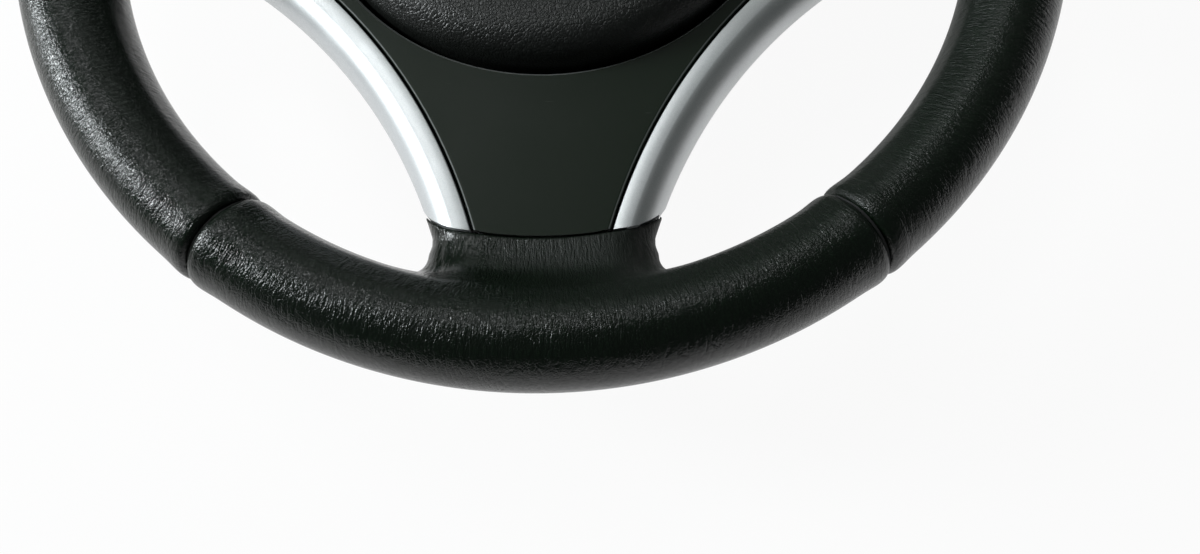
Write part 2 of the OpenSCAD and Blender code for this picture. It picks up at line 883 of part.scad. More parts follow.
armature();
hub_insert();
rim_foam();
leather_lower();
leather_left();
leather_right();
leather_top();
front_bezel();
trim_left();
trim_right();
rear_cover();
cover_screws();
airbag_cover();
airbag_housing();
airbag_cushion();
cushion_ring();
inflator();
inflator_nuts();
guide_pins();
spring_insulators();
retaining_wires();
horn_spring_1();
horn_spring_2();
horn_spring_3();
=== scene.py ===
from math import acos, atan2, copysign, cos, degrees, hypot, pi, radians, sin

import bmesh
import bpy
import numpy as np
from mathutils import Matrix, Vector


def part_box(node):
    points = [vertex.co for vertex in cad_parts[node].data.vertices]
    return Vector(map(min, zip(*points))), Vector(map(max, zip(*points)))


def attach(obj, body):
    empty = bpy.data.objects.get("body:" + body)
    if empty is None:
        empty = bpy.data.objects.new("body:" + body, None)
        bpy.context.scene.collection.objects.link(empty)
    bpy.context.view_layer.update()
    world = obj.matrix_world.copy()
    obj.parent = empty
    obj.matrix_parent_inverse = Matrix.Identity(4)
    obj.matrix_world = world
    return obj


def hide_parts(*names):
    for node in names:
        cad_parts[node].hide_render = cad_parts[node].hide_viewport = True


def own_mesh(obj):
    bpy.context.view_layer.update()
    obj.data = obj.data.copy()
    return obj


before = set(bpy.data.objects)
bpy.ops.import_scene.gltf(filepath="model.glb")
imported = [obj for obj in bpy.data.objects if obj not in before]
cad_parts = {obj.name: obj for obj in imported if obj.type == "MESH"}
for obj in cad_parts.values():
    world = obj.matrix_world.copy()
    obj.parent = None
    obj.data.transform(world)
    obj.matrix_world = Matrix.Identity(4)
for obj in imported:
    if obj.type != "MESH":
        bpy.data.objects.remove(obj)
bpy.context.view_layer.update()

# The camera stands over the wheel's lower half and looks down at a slight slant, as a phone held
# above a table does. The wheel lies on its back, so the steering axis points up at it.
def put(name, data):
    """A new object in the scene that holds data: a mesh, a lamp or the camera."""
    made = bpy.data.objects.new(name, data)
    bpy.context.scene.collection.objects.link(made)
    return made


camera_data = bpy.data.cameras.new("camera")
camera_data.sensor_width = 36
camera_data.lens = 25.5
camera_data.clip_start = 0.01
camera = put("camera", camera_data)
camera.location = (0.01909, -0.21858, 0.33391)
camera.rotation_euler = (radians(14.457), radians(0.12), radians(-0.452))
bpy.context.scene.camera = camera

# The grip is leather glued and sewn over a foam-covered ring. It is four panels, which meet in
# narrow grooves, and three of them carry a tongue that runs down onto a spoke.
# All sizes are in millimetres from the hub, and turns in degrees.
ring_r, mid_z = 170.9, 70.0
grip_half_w, grip_half_d, grip_mean = 16.6, 18.0, 17.2

# The lower spoke's half width, the side spokes' edges and middle, and where leather on a spoke ends
low_root_half = 37.3
side_root_low, side_root_high, side_root_mid = -20.0, 40.5, 10.2
root_edge, corner_edge = 136.3, 131.4

# The seams lie this far from straight down and from level. Each is a groove with puffed sides.
low_seam, top_seam = 36.5, 30.0
groove_half, groove_round = 0.35, 4.0

# The arc of a trim on the right, and the corner into which a spoke's end curls under the trim
arc_x, arc_y, arc_r, trim_w = 219.6, -191.2, 190.5, 13.3
arc_far, arc_turn = hypot(arc_x, arc_y), atan2(arc_y, arc_x)
corner_turn, corner_r = radians(37.34), 22.3
corner = np.array((cos(corner_turn), sin(corner_turn))) * (root_edge - corner_r)


def melt(a, b, k):
    """The smaller of two distances, with a fillet of about k where they meet."""
    h = np.maximum(k - np.abs(a - b), 0) / k
    return np.minimum(a, b) - h * h * h * k / 6


def trimmed(a, b, k):
    """The larger of two distances, with the edge where they meet rounded over about k."""
    return -melt(-a, -b, k)


def flush(u, edge, along, across):
    """How far out a tongue's edge lies: level, and flush with the trim where that ends beside it."""
    return np.maximum(edge, across - np.sqrt(np.maximum(arc_r ** 2 - (along - u) ** 2, 0)))


def tongue(u, v, z, low, high):
    """Distance from a tongue that runs along u onto a spoke, with its edges at low and high across it."""
    # Its front dips a little past the grip, and falls away towards its edges
    inwards = np.minimum(high - v, v - low)
    dip = 0.9 * np.exp(-((u - 152) / 7) ** 2)
    fall = 3.0 * np.clip((19 - inwards) / 15, 0, 1) ** 2
    front = -2.8 - dip - fall
    back = -26 + np.clip(u - 138, 0, 40) * 0.62
    middle, depth = (front + back) / 2, (front - back) / 2
    # Towards the grip it widens, first by a small step and then round a flare, and its edges get tighter
    step, flare_r = 1.9, 11
    flare = step * np.clip((u - 133) / 6, 0, 1) + flare_r - np.sqrt(
        flare_r ** 2 - np.clip(u - 140.5, 0, 10.5) ** 2)
    soft = 10 - 0.4 * np.clip(u - 139, 0, 12)
    q = np.stack([np.maximum(v - high, low - v) - flare + soft, np.abs(z - middle) - depth + soft])
    side = np.hypot(*np.maximum(q, 0)) + np.minimum(q.max(0), 0) - soft
    in_grip, under_cover = (u - 166) * 1.4, 110 - u
    return np.maximum(np.maximum(side, in_grip), under_cover)


def past_end(x, y):
    """How far points lie inside the line at which the leather on a spoke ends."""
    around = np.hypot(x, y)
    turn = np.abs(np.arctan2(y, np.abs(x)) - arc_turn)
    far = np.hypot(around * np.cos(turn) - corner[0], around * np.sin(turn) - corner[1])
    curled = np.maximum(corner_r - 0.2 - far, corner_edge - around)
    return np.where(turn < corner_turn, curled, root_edge - around)


def fillet(past):
    """The fillet between grip and tongue, which gets tighter past the tongue's flat middle."""
    return 29 - 0.9 * np.clip(past, 0, 12)


def grip(p):
    """Distance of points from the whole leather grip, in millimetres from the hub."""
    x, y, z = p[:, 0], p[:, 1], p[:, 2] - mid_z
    rho = np.hypot(x, y) - ring_r
    turn = np.degrees(np.arctan2(z / grip_half_d, -rho / grip_half_w))
    thumb_ridge = 0.020 * np.exp(-((turn - 33) / 8) ** 2)
    thumb_hollow = 0.012 * np.exp(-((turn - 52) / 13) ** 2)
    ring = (np.hypot(rho / grip_half_w, z / grip_half_d) - (1 + thumb_ridge - thumb_hollow)) * grip_mean
    wide = flush(-y, low_root_half, -arc_y, arc_x)
    body = melt(ring, tongue(-y, x, z, -wide, wide), fillet(np.abs(x) - 25))
    for side in (1, -1):
        below = -flush(side * x, -side_root_low, arc_x, -arc_y)
        body = melt(body, tongue(side * x, y, z, below, side_root_high), fillet(np.abs(y - side_root_mid) - 20))
    return trimmed(body, past_end(x, y), 1.0)


def panel(start, stop):
    """The grip between two seams, a little fuller beside each, and rounded into its groove."""
    a, b = radians(start), radians(stop)

    def field(p):
        past = np.maximum(p[:, 0] * sin(a) - p[:, 1] * cos(a), p[:, 1] * cos(b) - p[:, 0] * sin(b)) + groove_half
        fuller = 0.45 * np.exp(-((past + 3.5) / 4.5) ** 2)
        return trimmed(grip(p) - fuller, past, groove_round)

    return field


def crossed_cells(value, low, step):
    """A first mesh, with a point in each cell of the grid that the surface crosses, and quads between them."""
    inside = value < 0
    corners = [(i, j, k) for i in (0, 1) for j in (0, 1) for k in (0, 1)]
    nx, ny, nz = [n - 1 for n in inside.shape]
    count = sum(inside[i:nx + i, j:ny + j, k:nz + k].astype(int) for i, j, k in corners)
    cells = np.argwhere((count > 0) & (count < 8))
    number = np.full(count.shape, -1)
    number[tuple(cells.T)] = np.arange(len(cells))
    total, hits = np.zeros((len(cells), 3)), np.zeros(len(cells))
    for c in corners:
        for axis in range(3):
            if c[axis]:
                continue
            d = tuple(1 if n == axis else c[n] for n in range(3))
            va = value[tuple((cells + c).T)]
            vb = value[tuple((cells + d).T)]
            cross = (va < 0) != (vb < 0)
            share = (va / np.where(cross, va - vb, 1))[:, None]
            total += np.where(cross[:, None], cells + c + share * (np.array(d) - c), 0)
            hits += cross
    at = np.array(low) + step * total / hits[:, None]
    quads = []
    for axis in range(3):
        one, two = [n for n in range(3) if n != axis]
        first, second = [slice(1, -1)] * 3, [slice(1, -1)] * 3
        first[axis], second[axis] = slice(0, -1), slice(1, None)
        edge = inside[tuple(first)] != inside[tuple(second)]
        spots = np.argwhere(edge) + 1
        spots[:, axis] -= 1
        outward = inside[tuple(spots.T)]
        ring = []
        for back_one, back_two in ((1, 1), (0, 1), (0, 0), (1, 0)):
            shifted = spots.copy()
            shifted[:, one] -= back_one
            shifted[:, two] -= back_two
            ring.append(number[tuple(shifted.T)])
        ring = np.stack(ring, 1)
        right_way = outward if axis != 1 else ~outward
        ring[~right_way] = ring[~right_way][:, ::-1]
        quads.append(ring)
    return at, np.concatenate(quads)


def slope_of(field, p, reach):
    """How field changes at points p along x, y and z, felt over reach to each side."""
    return np.stack([field(p + e) - field(p - e) for e in np.eye(3) * reach], 1) / (2 * reach)


def settled(field, at, quads):
    """The points, evened out between their neighbours in three rounds, and set where field is zero in six."""
    for rounds in range(6):
        if rounds < 3:
            spread, shares = np.zeros_like(at), np.zeros(len(at))
            for n in range(4):
                np.add.at(spread, quads[:, n], at[quads[:, n - 1]] + at[quads[:, (n + 1) % 4]])
                np.add.at(shares, quads[:, n], 2)
            at = at * 0.5 + spread / shares[:, None] * 0.5
        slope = slope_of(field, at, 0.02)
        at = at - field(at)[:, None] * slope / np.maximum((slope * slope).sum(1), 0.2)[:, None]
    return at


def skin(name, field, low, high, step):
    """A closed mesh of quads on which field is zero, found on a grid between the corners low and high."""
    grid = [np.arange(a, b + step, step) for a, b in zip(low, high)]
    points = np.stack(np.meshgrid(*grid, indexing="ij"), -1)
    value = field(points.reshape(-1, 3)).reshape(points.shape[:3])
    at, quads = crossed_cells(value, low, step)
    at = settled(field, at, quads)
    mesh = bpy.data.meshes.new(name)
    mesh.from_pydata((at / 1000).tolist(), [], quads.tolist())
    mesh.shade_smooth()
    return put(name, mesh)


def add(tree, kind, inputs=(), **settings):
    """A shader node whose inputs are given by name or number, as values or as other nodes' sockets."""
    made = tree.nodes.new("ShaderNode" + kind)
    for name, value in settings.items():
        setattr(made, name, value)
    for place, value in dict(inputs).items():
        if isinstance(value, bpy.types.NodeSocket):
            tree.links.new(value, made.inputs[place])
        else:
            made.inputs[place].default_value = value
    return made


def sums(tree, operation, a, b=0.0, clamp=False):
    """The output of one Math node."""
    return add(tree, "Math", {0: a, 1: b}, operation=operation, use_clamp=clamp).outputs[0]


def ramp(tree, value, low, high, to_low=0.0, to_high=1.0):
    """value, moved from the range low to high onto the range to_low to to_high, and held there."""
    return add(tree, "MapRange", {"Value": value, "From Min": low, "From Max": high,
                                  "To Min": to_low, "To Max": to_high}).outputs[0]


def tint(tree, share, a, b):
    """A colour between a and b."""
    return add(tree, "Mix", {"Factor": share, "A": (*a, 1), "B": (*b, 1)}, data_type="RGBA").outputs["Result"]


def finish_named(name):
    """A new material, its node tree and its Principled shader."""
    made = bpy.data.materials.new(name)
    made.use_nodes = True
    return made, made.node_tree, made.node_tree.nodes["Principled BSDF"]


def raised(tree, shade, height, strength, distance):
    """Lets height show as relief in a finish."""
    bump = add(tree, "Bump", {"Height": height, "Strength": strength, "Distance": distance})
    tree.links.new(bump.outputs[0], shade.inputs["Normal"])


def wear(piece, material):
    """Gives a piece its one material."""
    piece.data.materials.clear()
    piece.data.materials.append(material)
    return piece


# Leather grain: small pebbles, drawn out across the grip, with longer creases between them.
leather_grain = bpy.data.node_groups.new("leather_grain", "ShaderNodeTree")
for label, kind, way in (("Vector", "NodeSocketVector", "INPUT"), ("Pebble", "NodeSocketFloat", "INPUT"),
                         ("Crease", "NodeSocketFloat", "INPUT"), ("Height", "NodeSocketFloat", "OUTPUT"),
                         ("Valley", "NodeSocketFloat", "OUTPUT")):
    leather_grain.interface.new_socket(label, in_out=way, socket_type=kind)
t = leather_grain
given = t.nodes.new("NodeGroupInput")
made = t.nodes.new("NodeGroupOutput")
wander = add(t, "TexNoise", {"Vector": given.outputs["Vector"], "Scale": 260.0, "Detail": 2.0})
shift = add(t, "VectorMath", {0: wander.outputs["Color"], 1: (0.5, 0.5, 0.5)}, operation="SUBTRACT")
shift = add(t, "VectorMath", {0: shift.outputs[0], "Scale": 0.0011}, operation="SCALE")
bent = add(t, "VectorMath", {0: given.outputs["Vector"], 1: shift.outputs[0]}, operation="ADD").outputs[0]
pebbles = add(t, "TexVoronoi", {"Vector": bent, "Scale": given.outputs["Pebble"]}, feature="DISTANCE_TO_EDGE")
pebble = ramp(t, pebbles.outputs["Distance"], 0.0, 0.22)
lines = add(t, "TexVoronoi", {"Vector": bent, "Scale": given.outputs["Crease"]}, feature="DISTANCE_TO_EDGE")
line = ramp(t, lines.outputs["Distance"], 0.0, 0.10)
fine = add(t, "TexNoise", {"Vector": given.outputs["Vector"], "Scale": 2600.0, "Detail": 2.0})
height = sums(t, "ADD", sums(t, "MULTIPLY", pebble, 0.55), sums(t, "MULTIPLY", line, 0.35))
height = sums(t, "ADD", height, sums(t, "MULTIPLY", fine.outputs["Fac"], 0.16))
t.links.new(height, made.inputs["Height"])
# Valley is low in the grain's valleys and creases and high on the pebbles between them; the finishes use it to
# paint shade into the valleys.
t.links.new(sums(t, "MULTIPLY", pebble, line), made.inputs["Valley"])

leather, t, shade = finish_named("grip_leather")
place = add(t, "TexCoord").outputs["Object"]
turned = add(t, "Mapping", {"Vector": place, "Rotation": (0, 0, radians(30))}).outputs[0]
split = add(t, "SeparateXYZ", {0: turned})
along = sums(t, "MULTIPLY", sums(t, "ARCTAN2", split.outputs[1], split.outputs[0]), 0.171)
out = add(t, "VectorMath", {0: add(t, "CombineXYZ", {0: split.outputs[0], 1: split.outputs[1]}).outputs[0]},
          operation="LENGTH").outputs["Value"]
coat = add(t, "CombineXYZ", {0: sums(t, "MULTIPLY", along, 1.6), 1: out, 2: split.outputs[2]}).outputs[0]
grain = add(t, "Group", node_tree=leather_grain)
t.links.new(coat, grain.inputs["Vector"])
grain.inputs["Pebble"].default_value = 980
grain.inputs["Crease"].default_value = 420
# Bending drew the leather into fine furrows across the grip, and coarser ones where a tongue is stretched
drawn = add(t, "CombineXYZ", {0: along, 1: sums(t, "MULTIPLY", out, 0.25),
                              2: sums(t, "MULTIPLY", split.outputs[2], 0.25)}).outputs[0]
furrow = add(t, "TexNoise", {"Vector": drawn, "Scale": 640.0, "Detail": 1.5}).outputs["Fac"]
furrow = ramp(t, sums(t, "ABSOLUTE", sums(t, "SUBTRACT", furrow, 0.5)), 0.0, 0.13)
deep = add(t, "TexNoise", {"Vector": drawn, "Scale": 350.0, "Detail": 1.0}).outputs["Fac"]
deep = ramp(t, sums(t, "ABSOLUTE", sums(t, "SUBTRACT", deep, 0.5)), 0.0, 0.1)
# The tongues are the glossier towards the left of the wheel, where the leather was rubbed smooth
on_tongue = ramp(t, out, 0.168, 0.150)
rubbed = ramp(t, add(t, "SeparateXYZ", {0: place}).outputs[0], -0.03, 0.03, 0.62, 0.22)
deep = sums(t, "MULTIPLY", deep, sums(t, "MULTIPLY", on_tongue, rubbed))
height = sums(t, "ADD", sums(t, "MULTIPLY", grain.outputs["Height"], 0.36), sums(t, "MULTIPLY", furrow, 0.4))
height = sums(t, "ADD", height, deep)
smoothed = sums(t, "MULTIPLY", on_tongue, ramp(t, rubbed, 0.5, 0.6, 0.0, 0.5))
height = sums(t, "MULTIPLY", height, sums(t, "SUBTRACT", 1.0, smoothed))
patches = add(t, "TexNoise", {"Vector": place, "Scale": 26.0, "Detail": 3.0}).outputs["Fac"]
# Painted shade: the leather's colour is darker in the grain's valleys and in the furrows across it.
high = sums(t, "MULTIPLY", grain.outputs["Valley"], furrow)
dark = tint(t, high, (0.0016, 0.0040, 0.0018), (0.0036, 0.0086, 0.0040))
light = tint(t, high, (0.0022, 0.0052, 0.0026), (0.0050, 0.0114, 0.0056))
colour = add(t, "Mix", {"Factor": ramp(t, patches, 0.35, 0.7), "A": dark, "B": light}, data_type="RGBA")
t.links.new(colour.outputs["Result"], shade.inputs["Base Color"])
rough = sums(t, "SUBTRACT", ramp(t, patches, 0.3, 0.75, 0.29, 0.23), sums(t, "MULTIPLY", high, 0.04))
rough = sums(t, "SUBTRACT", rough, sums(t, "MULTIPLY", on_tongue, sums(t, "SUBTRACT", rubbed, 0.56)))
t.links.new(rough, shade.inputs["Roughness"])
raised(t, shade, height, 0.85, 0.00026)
shade.inputs["Specular IOR Level"].default_value = 0.36

# Each panel's two seams, and the box in which its skin is found. The lower panel lies nearest to the
# camera, so its grid is finer.
step = 1.15
panels = {
    "leather_lower": (270 - low_seam, 270 + low_seam, (-116, -190, 40), (116, -110, 92)),
    "leather_left": (180 - top_seam, 270 - low_seam, (-190, -156, 40), (-84, 100, 92)),
    "leather_right": (-90 + low_seam, top_seam, (84, -156, 40), (190, 100, 92)),
    "leather_top": (top_seam, 180 - top_seam, (-166, 70, 48), (166, 190, 92)),
}
for name, (start, stop, low, high) in panels.items():
    finer = 0.7 if name == "leather_lower" else 1.0
    piece = wear(skin(name + "_skin", panel(start, stop), low, high, step * finer), leather)
    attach(piece, "wheel")
    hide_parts(name)

# The panels' edges are laced together round the inner side of the rim with waxed black thread. The
# seam lies towards the back, where a driver's eyes don't see it, and stops where the tongues begin.
thread_r, stitch_gap, stitch_half, stitch_lean = 0.42, 4.6, 2.2, 0.9
seam_turn, low_clear, side_clear, seam_clear = -46.0, 22, 17, 1.0


def on_grip(p):
    """Points moved onto the grip's surface, with the direction out of it."""
    for _ in range(5):
        slope = slope_of(grip, p, 0.05)
        p = p - grip(p)[:, None] * slope / (slope * slope).sum(1)[:, None]
    return p, slope / np.linalg.norm(slope, axis=1)[:, None]


def tube_faces(rings, sides, start=0):
    """The faces of a tube with closed ends, round rings of points that are numbered on from start."""
    faces = []
    for n in range(rings - 1):
        near, far = start + n * sides, start + (n + 1) * sides
        faces += [(near + k, near + (k + 1) % sides, far + (k + 1) % sides, far + k) for k in range(sides)]
    return faces + [tuple(start + k for k in reversed(range(sides))),
                    tuple(start + (rings - 1) * sides + k for k in range(sides))]


seams = (270 - low_seam, 270 + low_seam, top_seam, 180 - top_seam)
spots = [a for a in np.arange(0, 360, degrees(stitch_gap / (ring_r - grip_half_w)))
         if abs(a - 270) > low_clear and min(a, 360 - a) > side_clear and abs(a - 180) > side_clear
         and min(abs(a - s) for s in seams) > seam_clear]
lengths = np.linspace(-1, 1, 7)
points, faces, sides = [], [], 6
for a in spots:
    turn = np.radians(seam_turn + lengths * degrees(stitch_half / grip_half_d))
    angle = radians(a) + lengths * stitch_lean / ring_r
    reach = ring_r - grip_half_w * np.cos(turn)
    rough_line = np.stack([reach * np.cos(angle), reach * np.sin(angle), mid_z + grip_half_d * np.sin(turn)], 1)
    line, up = on_grip(rough_line)
    # The thread's middle stands up from the leather, and its ends dive into the holes
    line = line + up * (0.25 - 0.75 * lengths ** 4)[:, None]
    run = np.gradient(line, axis=0)
    over = np.cross(run, up)
    over /= np.linalg.norm(over, axis=1)[:, None]
    start = len(points)
    for n in range(len(lengths)):
        for k in range(sides):
            turned = 2 * pi * k / sides
            points.append((line[n] + thread_r * (cos(turned) * over[n] + sin(turned) * up[n])) / 1000)
    faces += tube_faces(len(lengths), sides, start)
mesh = bpy.data.meshes.new("rim_stitching")
mesh.from_pydata([tuple(q) for q in points], [], faces)
mesh.shade_smooth()
stitching = put("rim_stitching", mesh)
thread, t, shade = finish_named("waxed_thread")
place = add(t, "TexCoord").outputs["Object"]
ply = add(t, "TexWave", {"Vector": place, "Scale": 900.0, "Distortion": 3.0}).outputs["Fac"]
t.links.new(tint(t, ply, (0.010, 0.010, 0.010), (0.028, 0.028, 0.027)), shade.inputs["Base Color"])
shade.inputs["Roughness"].default_value = 0.6
raised(t, shade, ply, 0.6, 0.0001)
wear(stitching, thread)
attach(stitching, "wheel")

# The bezel is one moulding of black plastic with a fine matt grain, screwed on from behind. It
# shows a few scratches and specks of dust from use.


def from_arc(co):
    """The way to a point from the centre of the arc of the trim on its side, in metres."""
    return co.x - copysign(arc_x / 1000, co.x), co.y - arc_y / 1000


def eased(node, name, width, stand_back=0.0, lip=0.0):
    """A copy of a moulded CAD piece with its sharp edges rounded by width, set back from the trims by
    stand_back, and with a broader rounding beside them, all in metres."""
    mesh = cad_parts[node].data.copy()
    beside_trim, within_lip, front_level = (arc_r + trim_w + 0.8) / 1000, (arc_r + trim_w + 1.8) / 1000, 0.0669
    for v in mesh.vertices:
        away = from_arc(v.co)
        if stand_back and hypot(*away) < beside_trim:
            v.co.x += away[0] / hypot(*away) * stand_back
            v.co.y += away[1] / hypot(*away) * stand_back
    piece = put(name, mesh)
    shape = bmesh.new()
    shape.from_mesh(mesh)
    bmesh.ops.remove_doubles(shape, verts=shape.verts, dist=0.00001)
    bmesh.ops.dissolve_limit(shape, angle_limit=radians(1.0), verts=shape.verts, edges=shape.edges)
    if lip:
        rim = [e for e in shape.edges
               if all(v.co.z > front_level and hypot(*from_arc(v.co)) < within_lip for v in e.verts)]
        bmesh.ops.bevel(shape, geom=rim, offset=lip, segments=2, profile=0.5, affect="EDGES", clamp_overlap=False)
    shape.to_mesh(mesh)
    shape.free()
    round_off = piece.modifiers.new("edges", "BEVEL")
    round_off.width = width
    round_off.segments = 3
    round_off.limit_method = "ANGLE"
    round_off.angle_limit = radians(40)
    round_off.use_clamp_overlap = True
    even = piece.modifiers.new("even", "WEIGHTED_NORMAL")
    even.keep_sharp = True
    mesh.shade_smooth()
    bpy.context.view_layer.update()
    final = bpy.data.meshes.new_from_object(piece.evaluated_get(bpy.context.evaluated_depsgraph_get()))
    piece.modifiers.clear()
    piece.data = final
    return piece


bezel_plastic, t, shade = finish_named("bezel_plastic")
place = add(t, "TexCoord").outputs["Object"]
fine = add(t, "TexNoise", {"Vector": place, "Scale": 3800.0, "Detail": 2.0}).outputs["Fac"]
broad = add(t, "TexNoise", {"Vector": place, "Scale": 30.0, "Detail": 4.0}).outputs["Fac"]
drawn = add(t, "Mapping", {"Vector": place, "Rotation": (0, 0, 0.5), "Scale": (1.0, 16.0, 1.0)}).outputs[0]
scratch = add(t, "TexNoise", {"Vector": drawn, "Scale": 60.0, "Detail": 1.0}).outputs["Fac"]
scratch = ramp(t, scratch, 0.775, 0.80)
speck = ramp(t, add(t, "TexVoronoi", {"Vector": place, "Scale": 95.0}).outputs["Distance"], 0.05, 0.03)
some = ramp(t, add(t, "TexNoise", {"Vector": place, "Scale": 38.0, "Detail": 0.0}).outputs["Fac"], 0.58, 0.66)
mark = sums(t, "MAXIMUM", sums(t, "MULTIPLY", scratch, 0.5), sums(t, "MULTIPLY", speck, some), clamp=True)
base = tint(t, broad, (0.0046, 0.0096, 0.0046), (0.0064, 0.0124, 0.0064))
marked = add(t, "Mix", {"Factor": sums(t, "MULTIPLY", mark, 0.5), "A": base, "B": (0.16, 0.17, 0.16, 1)},
             data_type="RGBA").outputs["Result"]
# Its rounded edges are painted paler than its level front and its upright sides: a painted highlight for the
# light its chamfers catch
facing = add(t, "SeparateXYZ", {0: add(t, "NewGeometry").outputs["Normal"]}).outputs[2]
edge = sums(t, "MULTIPLY", ramp(t, facing, 0.985, 0.95), ramp(t, facing, 0.25, 0.4))
marked = add(t, "Mix", {"Factor": edge, "A": marked, "B": (0.15, 0.16, 0.155, 1)},
             data_type="RGBA").outputs["Result"]
t.links.new(marked, shade.inputs["Base Color"])
t.links.new(sums(t, "SUBTRACT", ramp(t, broad, 0.3, 0.7, 0.46, 0.52), sums(t, "MULTIPLY", edge, 0.2)),
            shade.inputs["Roughness"])
raised(t, shade, fine, 0.5, 0.00006)
shade.inputs["Specular IOR Level"].default_value = 0.2
bezel = wear(eased("front_bezel", "bezel_moulding", 0.0005, stand_back=0.0011, lip=0.0012), bezel_plastic)
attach(bezel, "wheel")
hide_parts("front_bezel")

# Each trim is a curved strip of plastic, painted silver and lacquered, and clipped in beside the
# bezel. Its front face slopes a little to a crisp ridge, where a side starts that rounds down and back.
front_z = 67.0
trim_face, trim_drop, trim_wall, trim_edge = 5.0, 13.0, 2.2, 2.5
trim_wider, trim_gap = 0.55, 0.5


def curve(p, n):
    """n points along the smooth curve between the first and last of p, drawn towards its other two."""
    a, b, c, d = [np.array(q, float) for q in p]
    return [(1 - s) ** 3 * a + 3 * s * (1 - s) ** 2 * b + 3 * s * s * (1 - s) * c + s ** 3 * d
            for s in [i / n for i in range(1, n + 1)]]


def trim_strip(name, side):
    """A trim: its section swept along the arc, with each line of the sweep cut where the leather starts."""
    inner, ridge = arc_r + trim_w + trim_wider, arc_r + trim_w - trim_face
    face = ((inner, trim_edge), (inner, 0.5), (inner - 0.15, 0.15), (inner - 0.5, 0.0),
            (ridge + 0.5, 0.32), (ridge + 0.1, 0.37))
    outside = [np.array((rho, front_z - down)) for rho, down in face]
    outside += curve([(ridge - 0.2, front_z - 0.43), (ridge - 4.3, front_z - 2.3), (arc_r + 0.2, front_z - 6.5),
                      (arc_r, front_z - trim_drop)], 16)
    # Its back follows the rounded side a wall's thickness behind it
    inside = [p + (trim_wall, -trim_wall * 0.6) for p in outside[:len(face) - 1:-1]]
    inside.append(np.array((inner - 1.5, front_z - trim_edge)))
    section = outside + [outside[-1] + (trim_wall * 0.7, 0)] + inside
    # Each line of the sweep stops before the spoke's leather: at its round end, or at its curled corner
    steps = 90
    away = hypot(arc_far - corner[0], corner[1])
    rings = []
    for rho, z in section:
        to_end = acos((rho ** 2 + arc_far ** 2 - (root_edge - trim_gap) ** 2) / (2 * rho * arc_far))
        to_corner = acos(min((rho ** 2 + away ** 2 - (corner_r - trim_gap) ** 2) / (2 * rho * away), 1))
        reach = min(to_end, to_corner + atan2(corner[1], arc_far - corner[0]))
        angles = arc_turn + pi + np.linspace(-reach, reach, steps + 1)
        rings.append([(side * (arc_x + rho * cos(a)), arc_y + rho * sin(a), z) for a in angles])
    at = np.array(rings).reshape(-1, 3) / 1000
    wide, long = len(section), steps + 1
    faces = [(i * long + j, i * long + j + 1, (i + 1) % wide * long + j + 1, (i + 1) % wide * long + j)
             for i in range(wide) for j in range(steps)]
    faces += [tuple(i * long for i in range(wide)), tuple(i * long + steps for i in reversed(range(wide)))]
    mesh = bpy.data.meshes.new(name)
    mesh.from_pydata(at.tolist(), [], faces)
    shape = bmesh.new()
    shape.from_mesh(mesh)
    bmesh.ops.recalc_face_normals(shape, faces=shape.faces)
    shape.to_mesh(mesh)
    shape.free()
    mesh.shade_smooth()
    mesh.set_sharp_from_angle(angle=radians(28))
    return put(name, mesh)


silver, t, shade = finish_named("silver_trim")
place = add(t, "TexCoord").outputs["Object"]
flake = add(t, "TexVoronoi", {"Vector": place, "Scale": 6500.0}).outputs["Color"]
broad = add(t, "TexNoise", {"Vector": place, "Scale": 55.0, "Detail": 4.0}).outputs["Fac"]
sparkle = add(t, "SeparateColor", {0: flake}).outputs[0]
t.links.new(tint(t, sparkle, (0.57, 0.59, 0.60), (0.68, 0.695, 0.70)), shade.inputs["Base Color"])
t.links.new(ramp(t, broad, 0.3, 0.7, 0.44, 0.5), shade.inputs["Roughness"])
shade.inputs["Metallic"].default_value = 0.75
shade.inputs["Coat Weight"].default_value = 0.2
shade.inputs["Coat Roughness"].default_value = 0.2
raised(t, shade, broad, 0.15, 0.0001)
for name, side in (("trim_left", -1), ("trim_right", 1)):
    piece = wear(trim_strip(name + "_strip", side), silver)
    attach(piece, "wheel")
    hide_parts(name)

# The airbag cover is a soft moulding with a pebbled grain and a rolled edge. It splits open along
# thin lines on its inner side, so its face is plain.
airbag_skin, t, shade = finish_named("airbag_skin")
place = add(t, "TexCoord").outputs["Object"]
grain = add(t, "Group", node_tree=leather_grain)
t.links.new(place, grain.inputs["Vector"])
grain.inputs["Pebble"].default_value = 780
grain.inputs["Crease"].default_value = 300
broad = add(t, "TexNoise", {"Vector": place, "Scale": 24.0, "Detail": 3.0}).outputs["Fac"]
# Painted shade: the cover's colour is darker in the grain's valleys than on its pebbles.
base = tint(t, grain.outputs["Valley"], (0.0030, 0.0038, 0.0031), (0.0080, 0.0100, 0.0083))
t.links.new(base, shade.inputs["Base Color"])
t.links.new(ramp(t, broad, 0.3, 0.7, 0.38, 0.46), shade.inputs["Roughness"])
raised(t, shade, grain.outputs["Height"], 0.8, 0.00022)
cover = wear(eased("airbag_cover", "airbag_cover_skin", 0.0006), airbag_skin)
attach(cover, "airbag_module")
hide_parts("airbag_cover")

